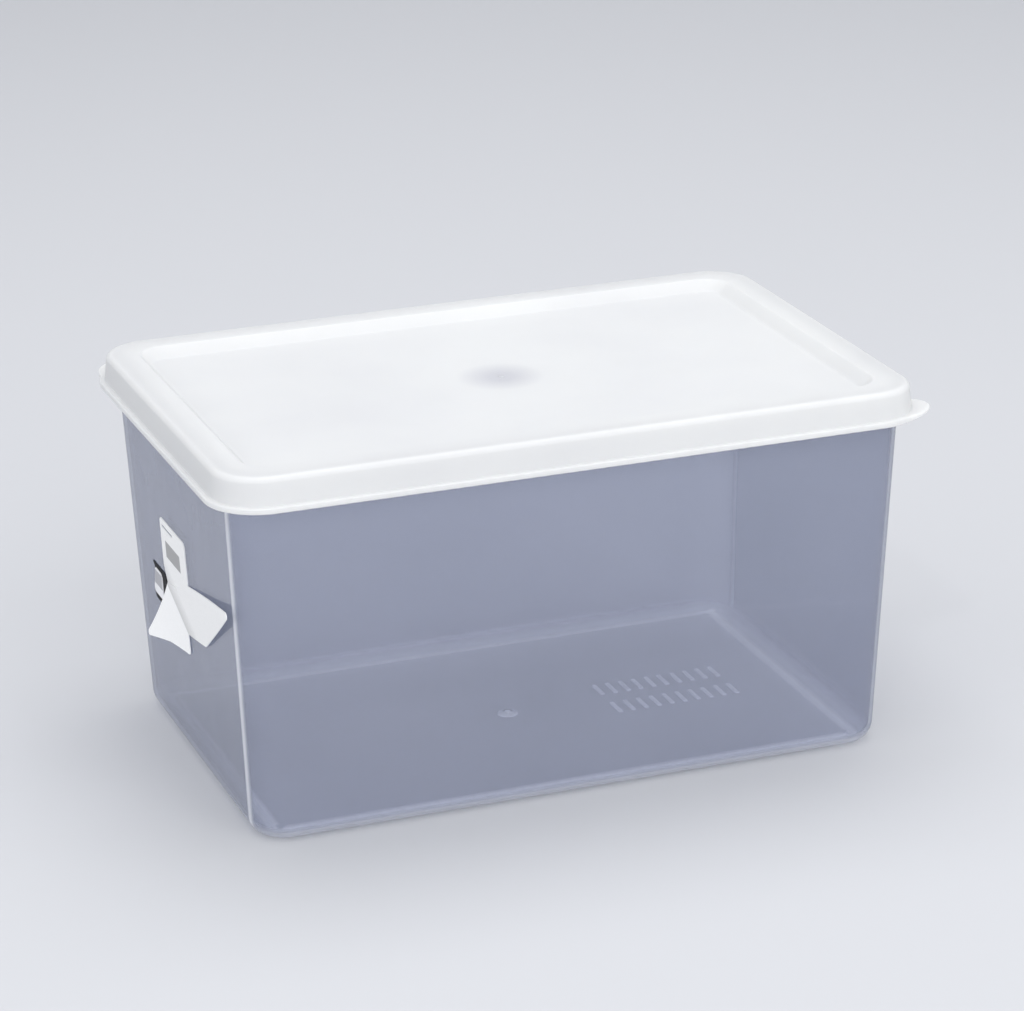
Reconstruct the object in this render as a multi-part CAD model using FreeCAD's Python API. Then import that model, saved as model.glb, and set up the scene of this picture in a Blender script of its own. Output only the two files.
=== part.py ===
import FreeCAD, Part
import math
import os

# Rectangular food storage box: a drafted clear container, a press-on lid, and a folded paper tag with a
# small sticker beside it on the left end wall. X runs along the length, Y along the width and Z up. The
# origin is the middle of the footprint, on the surface that the box stands on. Sizes are in millimetres.

# Container
mouth_length = 332.8
mouth_width = 215.2
base_length = 316.4
base_width = 198.8
corner_radius = 18.0
container_height = 182.3
wall = 1.8
floor = 2.0
bottom_radius = 9.0
foot_width = 1.7
foot_height = 1.0
floor_gate_radius = 5.0
floor_gate_height = 0.6
gate_pip_radius = 1.5
gate_pip_height = 0.8

# Rolled bead round the outside of the mouth
rim_reach = 2.7
rim_height = 5.0
rim_top_radius = 1.4
rim_chamfer = 0.8

# Plain raised bars moulded on the floor
bar_length = 13.0
bar_width = 1.5
bar_height = 0.5
bar_pitch = 7.0
bar_count = 10
bar_rows = 2
bar_row_pitch = 24.0
bar_centre_x = 84.0
bar_centre_y = -2.0

# Lid
lid_wall = 1.5
border_thickness = 1.7
lid_height = 16.0
skirt_flare = 1.4
lip_reach = 2.6
lip_height = 3.0
lip_chamfer = 0.8
lip_lead_in = 1.0
lid_edge_radius = 3.0
border_width = 15.0
recess_depth = 5.5
recess_slope = 5.0
recess_corner_radius = 9.0
recess_edge_radius = 1.4
lid_gate_dish_radius = 9.0
lid_gate_dish_depth = 0.4
seal_rib_depth = 4.5
seal_rib_thickness = 1.2
snap_bead_height = 3.0
snap_bead_ramp = 1.0
snap_bead_gap = 0.8

# Pull tabs on two opposite corners of the lid, each turned a little off the diagonal and away from the front
tab_radius = 15.5
tab_reach = 6.2
tab_turn = 16.0
tab_blend_radius = 9.0
tab_thickness = 2.2
tab_tilt = 14.0
tab_chamfer = 0.5

# Clearances between the container and the lid
skirt_clearance = 0.35
bead_clearance = 0.3
rib_clearance = 0.35

# Paper tag: a place on the left end wall is given as along, frontwards from the middle, and up, from its foot
paper = 0.4
tag_left = -33.0
tag_right = 10.0
tag_top = 120.0
tag_waist_height = 95.0
tag_neck_left = -27.0
tag_neck_right = 4.0
tag_neck_height = 84.0
tag_corner_radius = 3.0
slit_length = 19.0
slit_width = 1.2
slit_corner_radius = 0.4
slit_centre = -21.0
slit_drop = 3.2

# Two leaves below the header, which part at the foot of the fold and curl away from the wall
fold_right = 4.0
fold_height = 72.0
fold_radius = 1.0
tuck_left = -12.0
tuck_height = 90.0
tuck_radius = 2.0
leaf_tuck = 12.0
leaf_overlap = 4.0
leaf_tip_radius = 1.7
leaf_elbow_radius = 3.5
leaf_bend_radius = 20.0
left_leaf_heading = 240.4
left_leaf_reach = 60.0
left_leaf_curl = 7.0
left_leaf_tip = -61.0
left_leaf_tip_height = 49.2
left_leaf_bend = -27.0
left_leaf_bend_height = 57.0
left_leaf_end = 5.0
left_leaf_end_height = 61.5
left_leaf_end_radius = 2.0
right_leaf_heading = 15.9
right_leaf_reach = 102.0
right_leaf_curl = 4.0
right_leaf_tip = 99.5
right_leaf_tip_height = 117.0
right_leaf_elbow = 37.5
right_leaf_elbow_height = 77.8
right_leaf_bend = 17.0
right_leaf_bend_height = 74.0
right_leaf_bend_radius = 10.0

# Sticker beside the tag's neck and below its header
backing_gap = 4.0
backing_drop = 5.2
backing_length = 21.0
backing_height = 19.5
backing_radius = 4.0
backing_lean = 0.35
backing_tail = 3.6
backing_tail_drop = 2.6
backing_tail_radius = 0.4
backing_thickness = 0.35
face_inset = 1.2
face_drop = 2.3
face_right_inset = 7.5
face_height = 14.0
face_radius = 2.0
face_right_radius = 3.5
face_thickness = 0.35

# Two heights or radii closer than this are the same
same_place = 0.01

# Heights and outlines that follow from the sizes above
wall_lean = (mouth_length - base_length) / 2
lid_top = container_height + border_thickness
lid_bottom = lid_top - lid_height
panel_top = lid_top - recess_depth
panel_underside = panel_top - lid_wall
skirt_reach = rim_reach + skirt_clearance + lid_wall
bead_top = container_height - rim_height - snap_bead_gap
backing_right = tag_neck_left - backing_gap
backing_left = backing_right - backing_length
backing_top = tag_waist_height - backing_drop


def grown(outline, reach):
    """An outline of length, width and corner radius, moved outwards by reach."""
    length, width, radius = outline
    return length + 2 * reach, width + 2 * reach, radius + reach


def between(lower, upper, share):
    """The outline a share of the way from the lower one to the upper one."""
    return tuple(a + (b - a) * share for a, b in zip(lower, upper))


mouth = (mouth_length, mouth_width, corner_radius)
base = (base_length, base_width, corner_radius)


def corners(outline, z):
    """The four quarter arcs of a rounded rectangle, each as centre, start, middle and end."""
    length, width, radius = outline
    arcs = []
    for middle, sign_x, sign_y in ((45, 1, 1), (135, -1, 1), (225, -1, -1), (315, 1, -1)):
        centre = FreeCAD.Vector(sign_x * (length / 2 - radius), sign_y * (width / 2 - radius), z)
        points = [centre]
        for angle in (middle - 45, middle, middle + 45):
            turn = math.radians(angle)
            points.append(centre + FreeCAD.Vector(math.cos(turn), math.sin(turn), 0) * radius)
        arcs.append(points)
    return arcs


def flat_face(outline, z):
    """Level face bounded by a rounded rectangle."""
    arcs = corners(outline, z)
    edges = []
    for (_, start, middle, end), following in zip(arcs, arcs[1:] + arcs[:1]):
        edges.append(Part.Arc(start, middle, end).toShape())
        edges.append(Part.LineSegment(end, following[1]).toShape())
    return Part.Face(Part.Wire(edges))


def side_faces(lower, lower_z, upper, upper_z):
    """Four flat sides and four rounded corners between two outlines.

    Outlines with the same corner centres are joined by cones, and those with the same radius by cylinders
    that lean.
    """
    low = corners(lower, lower_z)
    high = corners(upper, upper_z)
    faces = []
    for index in range(4):
        centre, start, middle, end = low[index]
        high_centre, high_start, _, high_end = high[index]
        if abs(lower[2] - upper[2]) < same_place:
            faces.append(Part.Arc(start, middle, end).toShape().extrude(high_centre - centre))
        else:
            slant = Part.LineSegment(start, high_start).toShape()
            faces.append(slant.revolve(centre, FreeCAD.Vector(0, 0, 1), 90))
        next_start = low[(index + 1) % 4][1]
        next_high_start = high[(index + 1) % 4][1]
        faces.append(Part.Face(Part.makePolygon([end, next_start, next_high_start, high_end, end])))
    return faces


def stacked(sections):
    """Solid with straight sides through outlines given as (outline, height), from the lowest up."""
    faces = [flat_face(*sections[0]), flat_face(*sections[-1])]
    for (lower, lower_z), (upper, upper_z) in zip(sections, sections[1:]):
        faces += side_faces(lower, lower_z, upper, upper_z)
    shell = Part.makeShell(faces)
    shell.sewShape()
    underside = min(shell.Faces, key=lambda face: face.CenterOfMass.z)
    if underside.normalAt(0, 0).z > 0:
        shell.reverse()
    return Part.makeSolid(shell)


def edges_at(solid, z):
    """The edges of a solid that lie flat at a height."""
    found = []
    for edge in solid.Edges:
        box = edge.BoundBox
        if abs(box.ZMin - z) < same_place and abs(box.ZMax - z) < same_place:
            found.append(edge)
    return found


def wall_outline(z):
    """Outside of the container's wall at a height."""
    return between(base, mouth, z / container_height)


def floor_bars():
    """Rows of plain raised bars on the floor, to the right of its middle."""
    bars = []
    top = floor + foot_height
    for row in range(bar_rows):
        y = bar_centre_y + (row - (bar_rows - 1) / 2) * bar_row_pitch
        for column in range(bar_count):
            x = bar_centre_x + (column - (bar_count - 1) / 2) * bar_pitch
            corner = FreeCAD.Vector(x - bar_width / 2, y - bar_length / 2, top - bar_height)
            bars.append(Part.makeBox(bar_width, bar_length, 2 * bar_height, corner))
    return bars


def floor_gate():
    """Low round boss with a pip at the middle of the floor, where the plastic entered the mould."""
    top = floor + foot_height
    boss = Part.makeCone(floor_gate_radius + floor_gate_height, floor_gate_radius - floor_gate_height,
                         2 * floor_gate_height, FreeCAD.Vector(0, 0, top - floor_gate_height))
    pip = Part.makeCylinder(gate_pip_radius, gate_pip_height, FreeCAD.Vector(0, 0, top + floor_gate_height))
    return boss.fuse(pip)


def container():
    """One-piece drafted tub with a rounded bottom edge, a foot ring and a bead round its mouth."""
    rim_bottom = container_height - rim_height
    body = stacked([(base, 0), (wall_outline(rim_bottom), rim_bottom)])
    body = body.makeFillet(bottom_radius, edges_at(body, 0))
    bead = stacked([(grown(mouth, rim_reach), rim_bottom), (grown(mouth, rim_reach), container_height)])
    bead = bead.makeFillet(rim_top_radius, edges_at(bead, container_height))
    bead = bead.makeChamfer(rim_chamfer, edges_at(bead, rim_bottom))
    hollow = stacked([(grown(wall_outline(floor), -wall), floor), (grown(mouth, -wall), container_height)])
    hollow = hollow.makeFillet(bottom_radius - wall, edges_at(hollow, floor))
    foot_inside = grown(base, -bottom_radius - foot_width)
    dish = stacked([(foot_inside, 0), (grown(foot_inside, -foot_height), foot_height)])
    raised_floor = stacked([(foot_inside, floor), (grown(foot_inside, -foot_height), floor + foot_height)])
    tub = body.fuse(bead).cut(hollow).cut(dish)
    return tub.fuse([raised_floor, floor_gate()] + floor_bars()).removeSplitter()


def tab_plate():
    """Thin tongue that leaves one corner of the lip through two hollow curves, tilted up towards its tip."""
    lip_corner = corner_radius + skirt_reach + skirt_flare + lip_reach
    offset = lip_corner + tab_reach - tab_radius
    far = lip_corner + tab_blend_radius
    near = tab_radius + tab_blend_radius
    spread = math.acos((offset ** 2 + far ** 2 - near ** 2) / (2 * offset * far))

    def polar(distance, angle):
        return FreeCAD.Vector(distance * math.cos(angle), distance * math.sin(angle), 0)

    side = []
    for sign in (-1, 1):
        blend_centre = polar(far, sign * spread)
        tab_centre = FreeCAD.Vector(offset, 0, 0)
        start = polar(lip_corner, sign * spread)
        end = tab_centre + (blend_centre - tab_centre) * (tab_radius / near)
        middle = (start + end) * 0.5 - blend_centre
        middle = blend_centre + middle * (tab_blend_radius / middle.Length)
        side.append((start, middle, end))
    (low_start, low_middle, low_end), (high_start, high_middle, high_end) = side
    inner = FreeCAD.Vector(offset, 0, 0)
    edges = [Part.LineSegment(inner, low_start).toShape(),
             Part.Arc(low_start, low_middle, low_end).toShape(),
             Part.Arc(low_end, FreeCAD.Vector(offset + tab_radius, 0, 0), high_end).toShape(),
             Part.Arc(high_end, high_middle, high_start).toShape(),
             Part.LineSegment(high_start, inner).toShape()]
    plate = Part.Face(Part.Wire(edges)).extrude(FreeCAD.Vector(0, 0, tab_thickness))
    rim_edges = [edge for edge in plate.Edges if edge.Curve.TypeId == "Part::GeomCircle"]
    plate = plate.makeChamfer(tab_chamfer, rim_edges)
    plate.rotate(FreeCAD.Vector(corner_radius + skirt_reach, 0, 0), FreeCAD.Vector(0, 1, 0), -tab_tilt)
    plate.translate(FreeCAD.Vector(0, 0, (lip_height - tab_thickness) / 2))
    below_lip = Part.makeBox(2 * far, 2 * far, lip_height, FreeCAD.Vector(0, -far, -lip_height))
    return plate.cut(below_lip)


def pull_tabs():
    """The same tongue at the front right corner and at the back left corner."""
    tabs = []
    for turn in (-45, 135):
        tab = tab_plate()
        sign = 1 if turn < 0 else -1
        tab.rotate(FreeCAD.Vector(0, 0, 0), FreeCAD.Vector(0, 0, 1), turn + sign * tab_turn)
        tab.translate(FreeCAD.Vector(sign * (mouth_length / 2 - corner_radius),
                                     -sign * (mouth_width / 2 - corner_radius), lid_bottom))
        tabs.append(tab)
    return tabs


def lid():
    """Press-on cover: flared skirt with a lip, raised border over the rim, sunken panel and two pull tabs."""
    skirt_top = grown(mouth, skirt_reach)
    skirt_foot = grown(skirt_top, skirt_flare)
    lip = grown(skirt_foot, lip_reach)
    lip_top = lid_bottom + lip_height
    cover = stacked([(skirt_foot, lip_top), (skirt_top, lid_top)])
    cover = cover.makeFillet(lid_edge_radius, edges_at(cover, lid_top))
    band = stacked([(lip, lid_bottom), (lip, lip_top)])
    band = band.makeChamfer(lip_chamfer, edges_at(band, lid_bottom) + edges_at(band, lip_top))
    shell = cover.fuse([band] + pull_tabs())

    recess_inset = border_width + recess_slope - skirt_reach
    recess_foot = (mouth_length - 2 * recess_inset, mouth_width - 2 * recess_inset, recess_corner_radius)
    recess_mouth = grown(recess_foot, recess_slope)
    recess = stacked([(recess_foot, panel_top), (recess_mouth, lid_top)])
    recess = recess.makeFillet(recess_edge_radius, edges_at(recess, panel_top))

    inside_top = grown(skirt_top, -lid_wall)
    inside_foot = grown(skirt_foot, -lid_wall)
    bead_face = grown(mouth, rim_reach + bead_clearance)
    bead_bottom = bead_top - snap_bead_height

    def inside(z):
        return between(inside_foot, inside_top, (z - lip_top) / (lid_top - lip_top))

    channel_mouth = grown(inside_foot, lip_lead_in)
    channel = stacked([(channel_mouth, lid_bottom - tab_thickness), (channel_mouth, lid_bottom),
                       (inside(lip_top), lip_top),
                       (inside(bead_bottom), bead_bottom),
                       (bead_face, bead_bottom + snap_bead_ramp), (bead_face, bead_top - snap_bead_ramp),
                       (inside(bead_top), bead_top),
                       (inside(container_height), container_height)])
    slope_at_underside = recess_slope * (container_height - panel_underside) / recess_depth
    panel_block = stacked([(grown(recess_foot, lid_wall), panel_underside),
                           (grown(recess_foot, lid_wall + slope_at_underside), container_height)])
    channel = channel.cut(panel_block)

    rib_outside = grown(mouth, -wall - rib_clearance)
    rib_bottom = container_height - seal_rib_depth
    rib = stacked([(rib_outside, rib_bottom), (rib_outside, container_height)])
    rib = rib.cut(stacked([(grown(rib_outside, -seal_rib_thickness), rib_bottom),
                           (grown(rib_outside, -seal_rib_thickness), container_height)]))

    gate_foot = FreeCAD.Vector(0, 0, panel_top - lid_gate_dish_depth)
    gate = Part.makeCylinder(lid_gate_dish_radius, lid_gate_dish_depth, gate_foot)
    pip = Part.makeCylinder(gate_pip_radius, gate_pip_height, gate_foot)
    cover = shell.cut(channel).cut(recess).cut(gate)
    return cover.fuse([rib, pip]).removeSplitter()


def on_left_wall(solid):
    """Places a solid drawn as (along, up, outwards) on the left end wall, where along is frontwards."""
    slant = math.hypot(wall_lean, container_height)
    up = FreeCAD.Vector(-wall_lean, 0, container_height) * (1 / slant)
    along = FreeCAD.Vector(0, -1, 0)
    outwards = along.cross(up)
    foot = FreeCAD.Vector(-base_length / 2, 0, 0)
    placed = solid.copy()
    placed.Placement = FreeCAD.Placement(FreeCAD.Matrix(
        along.x, up.x, outwards.x, foot.x,
        along.y, up.y, outwards.y, foot.y,
        along.z, up.z, outwards.z, foot.z,
        0, 0, 0, 1)).multiply(placed.Placement)
    return placed


def rounded_outline(corners):
    """Closed flat wire through corners given as (along, up, radius), each rounded by its own radius."""
    points = [FreeCAD.Vector(along, up, 0) for along, up, radius in corners]
    trims = []
    for index, (along, up, radius) in enumerate(corners):
        here = points[index]
        back = (points[index - 1] - here).normalize()
        ahead = (points[(index + 1) % len(points)] - here).normalize()
        half_angle = back.getAngle(ahead) / 2
        reach = radius / math.tan(half_angle)
        inward = (back + ahead).normalize() * (radius / math.sin(half_angle))
        centre = here + inward
        trims.append((here + back * reach, centre - inward * (radius / inward.Length), here + ahead * reach))
    edges = []
    for this_trim, next_trim in zip(trims, trims[1:] + trims[:1]):
        edges.append(Part.Arc(*this_trim).toShape())
        edges.append(Part.LineSegment(this_trim[2], next_trim[0]).toShape())
    return Part.Wire(edges)


def plate(corners, low, high):
    """Flat plate with rounded corners between two distances from the wall."""
    face = Part.Face(rounded_outline(corners))
    solid = face.extrude(FreeCAD.Vector(0, 0, high - low))
    solid.translate(FreeCAD.Vector(0, 0, low))
    return solid


def curled_sheet(heading, reach, curl):
    """Sheet of paper that leaves the wall at the foot of the fold and curls away from it."""
    radius = (reach ** 2 + curl ** 2) / (2 * curl)
    turn = math.asin(reach / radius)

    def on_arc(distance, angle):
        return FreeCAD.Vector(distance * math.sin(angle), 0, paper + radius - distance * math.cos(angle))

    outer = radius
    inner = radius - paper
    tucked_low = FreeCAD.Vector(-leaf_tuck, 0, paper)
    tucked_high = FreeCAD.Vector(-leaf_tuck, 0, 2 * paper)
    edges = [Part.LineSegment(tucked_low, on_arc(outer, 0)).toShape(),
             Part.Arc(on_arc(outer, 0), on_arc(outer, turn / 2), on_arc(outer, turn)).toShape(),
             Part.LineSegment(on_arc(outer, turn), on_arc(inner, turn)).toShape(),
             Part.Arc(on_arc(inner, turn), on_arc(inner, turn / 2), on_arc(inner, 0)).toShape(),
             Part.LineSegment(on_arc(inner, 0), tucked_high).toShape(),
             Part.LineSegment(tucked_high, tucked_low).toShape()]
    sheet = Part.Face(Part.Wire(edges)).extrude(FreeCAD.Vector(0, 2 * reach, 0))
    sheet.translate(FreeCAD.Vector(0, -reach, 0))
    sheet.rotate(FreeCAD.Vector(0, 0, 0), FreeCAD.Vector(0, 0, 1), heading)
    sheet.translate(FreeCAD.Vector(fold_right, fold_height, 0))
    return sheet


def tag_header():
    """Flat part of the tag, with a narrower neck at its foot and a slit near its top for hanging."""
    header = plate([(tag_left, tag_top, tag_corner_radius), (tag_right, tag_top, tag_corner_radius),
                    (tag_right, tag_waist_height, tag_corner_radius),
                    (tag_neck_right, tag_neck_height, tag_corner_radius),
                    (tag_neck_left, tag_neck_height, tag_corner_radius),
                    (tag_left, tag_waist_height, tag_corner_radius)], 0, paper)
    slit_top = tag_top - slit_drop
    slit_foot = slit_top - slit_width
    slit_left = slit_centre - slit_length / 2
    slit_right = slit_centre + slit_length / 2
    slit = plate([(slit_left, slit_top, slit_corner_radius), (slit_right, slit_top, slit_corner_radius),
                  (slit_right, slit_foot, slit_corner_radius), (slit_left, slit_foot, slit_corner_radius)],
                 0, paper)
    return header.cut(slit)


def paper_tag():
    """Folded paper: a header flat on the wall, and two leaves below it that open to the left and right."""
    fold_foot = (fold_right, fold_height, fold_radius)
    tuck = (tuck_left, tuck_height, tuck_radius)
    depth = 2 * paper + left_leaf_curl + right_leaf_curl
    left_outline = plate([(tag_neck_left, tag_neck_height + leaf_overlap, fold_radius),
                          (left_leaf_tip, left_leaf_tip_height, leaf_tip_radius),
                          (left_leaf_bend, left_leaf_bend_height, leaf_bend_radius),
                          (left_leaf_end, left_leaf_end_height, left_leaf_end_radius), fold_foot, tuck],
                         0, depth)
    right_outline = plate([(tag_right, tag_waist_height + leaf_overlap, leaf_elbow_radius),
                           (right_leaf_tip, right_leaf_tip_height, leaf_tip_radius),
                           (right_leaf_elbow, right_leaf_elbow_height, leaf_elbow_radius),
                           (right_leaf_bend, right_leaf_bend_height, right_leaf_bend_radius), fold_foot,
                           tuck], 0, depth)
    left_leaf = curled_sheet(left_leaf_heading, left_leaf_reach, left_leaf_curl).common(left_outline)
    right_leaf = curled_sheet(right_leaf_heading, right_leaf_reach, right_leaf_curl).common(right_outline)
    return on_left_wall(tag_header().fuse([left_leaf, right_leaf]).removeSplitter())


def backing_side(height):
    """The leaning left side of the sticker's backing at a height."""
    return backing_left - backing_lean * (backing_top - backing_tail_drop - height)


def sticker_backing():
    """Dark patch on the wall with a thin tail at its top left, which the tag's left leaf partly covers."""
    bottom = backing_top - backing_height
    outline = [(backing_left - backing_tail, backing_top, backing_tail_radius),
               (backing_right, backing_top, backing_radius),
               (backing_right, bottom, backing_radius),
               (backing_side(bottom), bottom, backing_radius),
               (backing_left, backing_top - backing_tail_drop, backing_tail_radius)]
    return on_left_wall(plate(outline, 0, backing_thickness))


def sticker_face():
    """White rounded patch on the dark one."""
    right = backing_right - face_right_inset
    top = backing_top - face_drop
    bottom = top - face_height
    outline = [(backing_side(top) + face_inset, top, face_radius), (right, top, face_right_radius),
               (right, bottom, face_radius), (backing_side(bottom) + face_inset, bottom, face_radius)]
    return on_left_wall(plate(outline, backing_thickness, backing_thickness + face_thickness))


def build():
    os.makedirs("parts", exist_ok=True)
    pieces = {"container": container(), "lid": lid(), "paper_tag": paper_tag(),
              "sticker_backing": sticker_backing(), "sticker_face": sticker_face()}
    for name, shape in pieces.items():
        shape.exportStep(f"parts/{name}.step")
        box = shape.BoundBox
        print(f"{name}: {len(shape.Solids)} solid, valid {shape.isValid()}, {shape.Volume / 1000:.2f} cm3, "
              f"{box.XLength:.1f} x {box.YLength:.1f} x {box.ZLength:.1f} mm, "
              f"Z {box.ZMin:.2f} to {box.ZMax:.2f}")


build()
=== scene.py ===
# %% [markdown]
# # A clear food storage box
#
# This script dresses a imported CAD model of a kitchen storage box: a clear, slightly milky tub, a soft white
# lid pressed over its rim, and a folded paper tag with a small sticker beside it on one end wall. The packed
# model gives the main sizes and places, and each piece made here rides on one of its bodies, so the lid still
# lifts off. All lengths are in metres, with X along the box, Y to the back and Z up.

# %% Load the frame
import math

import bmesh
import bpy
from mathutils import Matrix, Vector


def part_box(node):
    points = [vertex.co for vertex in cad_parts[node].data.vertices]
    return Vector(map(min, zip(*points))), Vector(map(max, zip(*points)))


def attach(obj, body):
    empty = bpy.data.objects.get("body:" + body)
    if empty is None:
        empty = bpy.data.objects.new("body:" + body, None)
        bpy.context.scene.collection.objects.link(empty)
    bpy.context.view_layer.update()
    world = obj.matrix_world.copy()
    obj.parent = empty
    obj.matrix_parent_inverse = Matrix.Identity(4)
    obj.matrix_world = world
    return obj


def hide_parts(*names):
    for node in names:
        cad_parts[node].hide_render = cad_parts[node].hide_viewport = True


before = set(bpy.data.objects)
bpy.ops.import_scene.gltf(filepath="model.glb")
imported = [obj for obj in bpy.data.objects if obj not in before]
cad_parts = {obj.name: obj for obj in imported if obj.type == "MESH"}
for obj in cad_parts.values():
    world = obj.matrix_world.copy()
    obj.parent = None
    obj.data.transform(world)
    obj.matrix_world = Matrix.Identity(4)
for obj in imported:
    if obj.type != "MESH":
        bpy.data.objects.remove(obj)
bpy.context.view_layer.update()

# %% [markdown]
# ## The view
#
# The box is seen from the front, 20 degrees to its left and 20 degrees from above, through a long lens that
# keeps its sides nearly parallel. The camera comes first, because everything after it is judged through it.
# It is put at a point, turned and dropped towards the box, and then rolled by the degree that the picture is
# tilted.

# %% Camera
view_place = Vector((-0.5924, -1.6334, 0.7367))
view_turn = math.radians(-20.07)
view_drop = math.radians(19.76)
view_roll = math.radians(-1.07)
lens_mm = 133.3
sensor_mm = 36.0


def placed(name, data):
    """New object of a mesh, a lamp or a camera, put in the scene."""
    made = bpy.data.objects.new(name, data)
    bpy.context.scene.collection.objects.link(made)
    return made


camera_data = bpy.data.cameras.new("camera")
camera_data.lens = lens_mm
camera_data.sensor_width = sensor_mm
camera_data.sensor_fit = "HORIZONTAL"
camera = placed("camera", camera_data)
camera.matrix_world = (Matrix.Translation(view_place) @ Matrix.Rotation(view_turn, 4, "Z")
                       @ Matrix.Rotation(math.pi / 2 - view_drop, 4, "X")
                       @ Matrix.Rotation(view_roll, 4, "Z"))
bpy.context.scene.camera = camera
print("camera is", round(view_place.length, 2), "m from the middle of the base")

# %% [markdown]
# ## Sizes
#
# The main sizes are read from the CAD nodes' boxes, and the small ones, such as the wall's thickness, are
# usual for such a moulding. A ring round the box is told by three numbers: its half length, its corner radius
# and its height. Its half width is always the half length less one fixed shortfall.

# %% Sizes from the frame
rim_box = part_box("container")[1]
lid_low, lid_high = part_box("lid")

wall = 0.0018
floor_thickness = 0.002
bottom_radius = 0.009
foot_width = 0.0017
foot_height = 0.001
corner_radius = 0.018
rim_reach = 0.0027
rim_height = 0.005
rim_top = rim_box.z
rim_bottom = rim_top - rim_height
mouth_side = rim_box.x - rim_reach
shortfall = rim_box.x - rim_box.y
wall_lean = 0.0082
base_side = mouth_side - wall_lean


def wall_side(height):
    """Half length of the outside of the wall at a height."""
    return base_side + wall_lean * height / rim_top


print("mouth", round(2 * mouth_side, 4), "x", round(2 * (mouth_side - shortfall), 4),
      "rim top", round(rim_top, 4))

# %% [markdown]
# ## Sections
#
# Both mouldings have the same section all the way round, so each is drawn once, as a line from the middle of
# its underside out to the edge and back to the middle of its top. A bend in the line is an arc, because no
# moulded edge is sharp. The line's X is the half length, its Y the corner radius and its Z the height.

# %% Section lines
bend_steps = 5
least_travel = 0.000001


def bent_line(points):
    """Section line through points given as (half length, corner radius, height, bend radius)."""
    line = []
    for index, (side, corner, height, bend) in enumerate(points):
        if bend == 0:
            line.append(Vector((side, corner, height)))
            continue
        here = Vector((side, height))
        ends = []
        for near in (points[index - 1], points[index + 1]):
            towards = Vector((near[0], near[2])) - here
            ends.append((towards.normalized(), towards.length, near[1]))
        half_angle = ends[0][0].angle(ends[1][0]) / 2
        trim = bend / math.tan(half_angle)
        centre = here + (ends[0][0] + ends[1][0]).normalized() * (bend / math.sin(half_angle))
        stops = [here + way * trim for way, _, _ in ends]
        corners = [corner + (near - corner) * trim / length for _, length, near in ends]
        arms = [stop - centre for stop in stops]
        sweep = arms[0].angle_signed(arms[1])
        for step in range(bend_steps + 1):
            share = step / bend_steps
            spoke = arms[0].copy()
            spoke.rotate(Matrix.Rotation(-sweep * share, 2))
            spot = centre + spoke
            travel = stops[1].x - stops[0].x
            if abs(travel) > least_travel:
                share = (spot.x - stops[0].x) / travel
            line.append(Vector((spot.x, corners[0] + (corners[1] - corners[0]) * share, spot.y)))
    return line


def line_object(name, line):
    """Mesh of edges only, for a geometry nodes tree to sweep."""
    mesh = bpy.data.meshes.new(name)
    mesh.from_pydata(line, [(index, index + 1) for index in range(len(line) - 1)], [])
    return placed(name, mesh)


print("each bend is an arc of", bend_steps, "steps")

# %% [markdown]
# ## The sweep, in Geometry Nodes
#
# A rounded rectangle is four corner centres and a radius. One guide, a square outline with rounded corners
# whose centres are one unit from the middle, is made once, and each of its points tells which corner it
# belongs to and which way it faces. The section is swept along it, and then every point goes to its real
# place: the corner centre for its ring, plus the ring's radius in the direction that it faces. So the walls
# may lean and the corners may change radius on the way.

# %% Node helpers
def add_node(tree, kind, place, **settings):
    node = tree.nodes.new(kind)
    node.location = place
    for key, value in settings.items():
        setattr(node, key, value)
    return node


def feed(tree, socket, value):
    """Links a socket from another one, or sets it to a plain value."""
    if isinstance(value, bpy.types.NodeSocket):
        tree.links.new(value, socket)
    else:
        socket.default_value = value


def math_step(tree, place, operation, first, second):
    """One step of arithmetic on two numbers."""
    node = add_node(tree, "ShaderNodeMath", place, operation=operation)
    feed(tree, node.inputs[0], first)
    feed(tree, node.inputs[1], second)
    return node.outputs["Value"]


def vector_step(tree, place, operation, first, second=None, factor=None, result="Vector"):
    """One step of vector arithmetic. A length or a dot product gives a value."""
    node = add_node(tree, "ShaderNodeVectorMath", place, operation=operation)
    for socket, value in ((node.inputs[0], first), (node.inputs[1], second), (node.inputs[3], factor)):
        if value is not None:
            feed(tree, socket, value)
    return node.outputs[result]


def new_tree(name, sockets, result):
    """Empty tree with named inputs, given as (name, kind), and one geometry output."""
    tree = bpy.data.node_groups.new(name, "GeometryNodeTree")
    for label, kind in sockets:
        tree.interface.new_socket(label, in_out="INPUT", socket_type="NodeSocket" + kind)
    tree.interface.new_socket(result, in_out="OUTPUT", socket_type="NodeSocketGeometry")
    return tree


def finish_tree(tree, source, geometry, result, place):
    """Ends a tree with a real mesh, its material and the output."""
    real = add_node(tree, "GeometryNodeRealizeInstances", place)
    finish = add_node(tree, "GeometryNodeSetMaterial", (place[0] + 160, place[1]))
    sink = add_node(tree, "NodeGroupOutput", (place[0] + 320, place[1]))
    feed(tree, real.inputs["Geometry"], geometry)
    feed(tree, finish.inputs["Geometry"], real.outputs["Geometry"])
    feed(tree, finish.inputs["Material"], source.outputs["Material"])
    feed(tree, sink.inputs[result], finish.outputs["Geometry"])


# %% Sweep tree
guide_corner = 1.0
guide_centre = Vector((1, 1, 0))
guide_width = 2 * (guide_centre.x + guide_corner)
merge_reach = 0.00001


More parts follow.
